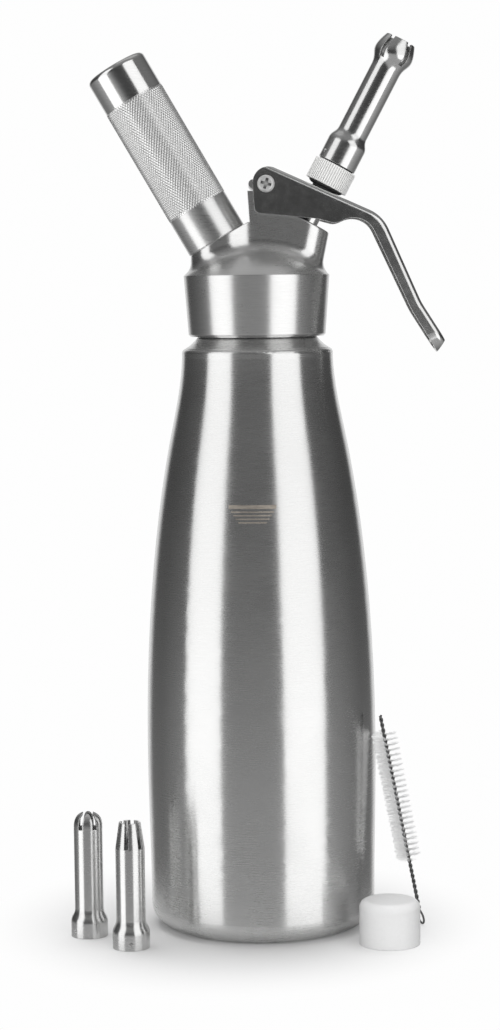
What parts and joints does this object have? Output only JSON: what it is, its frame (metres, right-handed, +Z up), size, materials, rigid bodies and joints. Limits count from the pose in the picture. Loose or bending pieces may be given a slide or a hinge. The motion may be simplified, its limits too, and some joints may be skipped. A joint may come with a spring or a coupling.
{
  "type": "cream whipper",
  "caption": "Steel cream whipper: tapered bottle, screw-on head with gas-charger holder, spring valve, squeeze lever and tulip nozzle, with spare nozzles, port cap and brush",
  "frame": {"origin": "Middle of the bottle's flat foot ring, on the floor", "axes": "+Z up along the bottle's axis, +X towards the nozzle and lever, -Y towards the viewer; the charger holder leans to -X"},
  "size_m": [0.1513, 0.0976, 0.3556],
  "materials": {
    "satin_steel": "satin, brushed around the axis",
    "knurled_steel": "diamond knurl between smooth bands",
    "polished_steel": "polished",
    "black_rubber": "matt",
    "pale_plastic": "fine upright ribs",
    "white_plastic": "smooth, slightly translucent",
    "white_nylon": "bristle",
    "dark_wire": "drawn wire"
  },
  "bodies": {
    "bottle": {"bottle_shell": "satin_steel"},
    "head_seal": {"head_gasket": "black_rubber"},
    "head": {"head_casting": "satin_steel", "valve_guide": "satin_steel", "stem_o_ring": "black_rubber", "valve_spring": "dark_wire", "pivot_screw": "polished_steel", "pivot_sleeve": "satin_steel", "piercing_pin": "satin_steel", "pin_seal": "black_rubber", "check_valve": "black_rubber"},
    "lever": {"lever": "polished_steel"},
    "valve": {"valve_stem": "satin_steel", "seal_nut": "satin_steel", "valve_seal": "black_rubber", "spring_collar": "satin_steel", "thrust_washer": "polished_steel", "stem_spacer": "black_rubber", "nozzle_adapter": "pale_plastic"},
    "nozzle_ring": {"nozzle_seal": "black_rubber"},
    "nozzle": {"tulip_nozzle": "polished_steel"},
    "charger": {"gas_charger": "satin_steel"},
    "holder": {"charger_holder": "knurled_steel"},
    "domed_spare": {"spare_nozzle_domed": "polished_steel"},
    "tapered_spare": {"spare_nozzle_tapered": "polished_steel"},
    "cap": {"port_cap": "white_plastic"},
    "brush": {"brush_wire": "dark_wire", "brush_bristles": "white_nylon"}
  },
  "joints": [
    {"name": "head_rise", "type": "slide", "parent": "bottle", "child": "head_seal", "axis": [0, 0, 1], "range_m": [0, 0.0105]},
    {"name": "head_turn", "type": "hinge", "parent": "head_seal", "child": "head", "pos_m": [0, 0, 0.26097], "axis": [0, 0, 1], "range_deg": [0, 1265]},
    {"name": "lever_press", "type": "hinge", "parent": "head", "child": "lever", "pos_m": [0.004, 0, 0.29672], "axis": [0, 1, 0], "range_deg": [0, 9], "stiffness_Nm_per_rad": 0.5, "springref_deg": -17.19, "deforming": ["valve_spring"]},
    {"name": "valve_stroke", "type": "slide", "parent": "head", "child": "valve", "axis": [-0.4695, 0, -0.8829], "range_m": [0, 0.0034], "deforming": ["valve_spring"]},
    {"name": "nozzle_rise", "type": "slide", "parent": "valve", "child": "nozzle_ring", "axis": [0.4695, 0, 0.8829], "range_m": [0, 0.006]},
    {"name": "nozzle_turn", "type": "hinge", "parent": "nozzle_ring", "child": "nozzle", "pos_m": [0, 0, 0.24377], "axis": [0.4695, 0, 0.8829], "range_deg": [0, 2170]},
    {"name": "charger_rise", "type": "slide", "parent": "head", "child": "charger", "axis": [-0.5, 0, 0.866], "range_m": [0, 0.012]},
    {"name": "holder_turn", "type": "hinge", "parent": "charger", "child": "holder", "pos_m": [0, 0, 0.24797], "axis": [-0.5, 0, 0.866], "range_deg": [0, 2890]},
    {"name": "domed_lift", "type": "slide", "parent": "bottle", "child": "domed_spare", "axis": [0, 0, 1], "range_m": [0, 0.1]},
    {"name": "tapered_lift", "type": "slide", "parent": "bottle", "child": "tapered_spare", "axis": [0, 0, 1], "range_m": [0, 0.1]},
    {"name": "cap_lift", "type": "slide", "parent": "bottle", "child": "cap", "axis": [0, 0, 1], "range_m": [0, 0.1]},
    {"name": "brush_lift", "type": "slide", "parent": "bottle", "child": "brush", "axis": [0, 0, 1], "range_m": [0, 0.1]}
  ],
  "couplings": [
    {"joint": "head_turn", "follows": "head_rise", "rad_per_m": 2094.4},
    {"joint": "valve_stroke", "follows": "lever_press", "m_per_rad": 0.0214},
    {"joint": "nozzle_turn", "follows": "nozzle_rise", "rad_per_m": 6283.2},
    {"joint": "holder_turn", "follows": "charger_rise", "rad_per_m": 4188.8}
  ]
}
